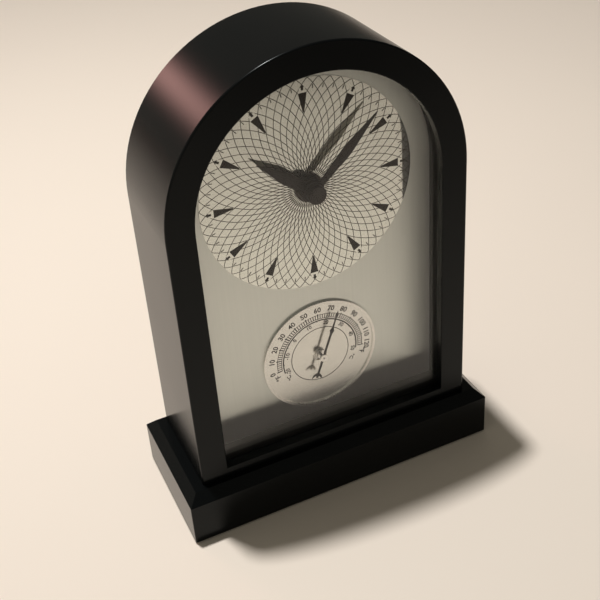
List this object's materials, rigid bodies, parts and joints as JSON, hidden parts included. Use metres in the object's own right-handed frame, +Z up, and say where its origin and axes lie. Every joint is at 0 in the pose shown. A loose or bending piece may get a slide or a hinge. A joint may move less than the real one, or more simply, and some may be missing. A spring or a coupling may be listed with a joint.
{
  "type": "mantel clock",
  "caption": "Arch-top mantel clock: black lacquered case on a bevelled plinth, round dial with hour and minute hands, dial thermometer below, battery quartz movement behind.",
  "frame": {"origin": "centre of the base's underside", "axes": "+Z up, -Y towards the front of the dial, +X to the viewer's right"},
  "size_m": [0.129, 0.0536, 0.1843],
  "materials": {
    "black_lacquer": "satin black lacquer on medium-density fibreboard",
    "black_felt": "black felt",
    "bare_wood": "unfinished softwood",
    "fibreboard": "dark fibreboard, black face",
    "clear_glass": "clear flat glass",
    "dark_grey_plastic": "dark grey matte",
    "brushed_aluminium": "vertically brushed satin",
    "polished_silver": "polished silver with black print",
    "bright_chrome": "polished",
    "zinc_screw": "zinc plated",
    "brass": "turned brass",
    "arbor_steel": "ground steel",
    "dark_bronze_paint": "dark bronze satin paint on brass or aluminium",
    "black_plastic": "black moulded",
    "white_plastic": "white acetal",
    "gasket_rubber": "soft black rubber",
    "copper_wire": "enamelled copper wire",
    "circuit_green": "green solder mask",
    "magnet_grey": "dark ferrite",
    "nickel": "nickel plated",
    "soft_iron": "bare soft iron",
    "bimetal_strip": "brass and steel strip",
    "battery_jacket": "printed jacket on a steel can"
  },
  "bodies": {
    "case": {"base_plinth": "black_lacquer", "case_shell": "black_lacquer", "base_felt": "black_felt", "floor_block": "bare_wood", "corner_blocks": "bare_wood", "backing_board": "fibreboard", "back_panel": "fibreboard", "glass_lens": "clear_glass", "spacer_ring": "dark_grey_plastic", "dial_plate": "brushed_aluminium", "clock_dial": "polished_silver", "thermometer_scale": "polished_silver", "thermometer_rim": "bright_chrome", "pivot_bridge": "bright_chrome", "case_screws": "zinc_screw", "panel_screws": "zinc_screw", "movement_screws": "zinc_screw", "mounting_bush": "brass", "dial_washer": "brass", "dial_nut": "brass", "thermometer_cup": "brass", "movement_housing": "black_plastic", "movement_cover": "black_plastic", "clock_chip": "black_plastic", "train_plate": "white_plastic", "coil_bobbin": "white_plastic", "movement_gasket": "gasket_rubber", "coil_winding": "copper_wire", "circuit_board": "circuit_green", "positive_contact": "nickel", "negative_contact": "nickel", "quartz_crystal": "nickel", "stator": "soft_iron", "coil_core": "soft_iron", "bimetal_coil": "bimetal_strip"},
    "minute": {"minute_arbor": "arbor_steel", "clutch_washer": "arbor_steel", "minute_hand": "dark_bronze_paint", "cap_nut": "dark_bronze_paint"},
    "hour": {"hour_wheel": "white_plastic", "hour_hand": "dark_bronze_paint"},
    "setting": {"setting_shaft": "white_plastic", "motion_wheel": "white_plastic", "setting_knob": "black_plastic"},
    "centre": {"centre_wheel": "white_plastic"},
    "third": {"third_wheel": "white_plastic"},
    "seconds": {"seconds_wheel": "white_plastic"},
    "intermediate": {"intermediate_wheel": "white_plastic"},
    "rotor": {"rotor_pinion": "white_plastic", "rotor_magnet": "magnet_grey"},
    "thermometer_pointer": {"pointer_arbor": "arbor_steel", "pointer": "dark_bronze_paint", "pointer_collar": "bright_chrome", "coil_collet": "brass"},
    "battery": {"battery": "battery_jacket"}
  },
  "joints": [
    {"name": "minute_turn", "type": "hinge", "parent": "case", "child": "minute", "pos_m": [0, -0.005, 0.1269], "axis": [0, 1, 0], "continuous": true},
    {"name": "hour_turn", "type": "hinge", "parent": "case", "child": "hour", "pos_m": [0, -0.005, 0.1269], "axis": [0, 1, 0], "continuous": true},
    {"name": "setting_turn", "type": "hinge", "parent": "case", "child": "setting", "pos_m": [-0.00636, 0.005, 0.13326], "axis": [0, 1, 0], "continuous": true},
    {"name": "rotor_turn", "type": "hinge", "parent": "case", "child": "rotor", "pos_m": [0.01861, 0.0066, 0.136], "axis": [0, 1, 0], "continuous": true},
    {"name": "intermediate_turn", "type": "hinge", "parent": "case", "child": "intermediate", "pos_m": [0.01561, 0.0066, 0.1412], "axis": [0, 1, 0], "continuous": true},
    {"name": "seconds_turn", "type": "hinge", "parent": "case", "child": "seconds", "pos_m": [0.00885, 0.0066, 0.13939], "axis": [0, 1, 0], "continuous": true},
    {"name": "third_turn", "type": "hinge", "parent": "case", "child": "third", "pos_m": [0.00525, 0.0066, 0.13315], "axis": [0, 1, 0], "continuous": true},
    {"name": "centre_turn", "type": "hinge", "parent": "case", "child": "centre", "pos_m": [0, 0.00435, 0.1269], "axis": [0, 1, 0], "continuous": true},
    {"name": "pointer_turn", "type": "hinge", "parent": "case", "child": "thermometer_pointer", "pos_m": [0, -0.006, 0.0536], "axis": [0, 1, 0], "range_deg": [-118, 76], "stiffness_Nm_per_rad": 0.0001},
    {"name": "battery_slide", "type": "slide", "parent": "case", "child": "battery", "axis": [0, 1, 0], "range_m": [0, 0.016]}
  ],
  "couplings": [
    {"joint": "hour_turn", "follows": "minute_turn", "ratio": 0.083333},
    {"joint": "setting_turn", "follows": "minute_turn", "ratio": -0.33333},
    {"joint": "intermediate_turn", "follows": "rotor_turn", "ratio": -0.2},
    {"joint": "seconds_turn", "follows": "rotor_turn", "ratio": 0.033333},
    {"joint": "third_turn", "follows": "rotor_turn", "ratio": -0.0041667},
    {"joint": "centre_turn", "follows": "rotor_turn", "ratio": 0.00055556}
  ]
}
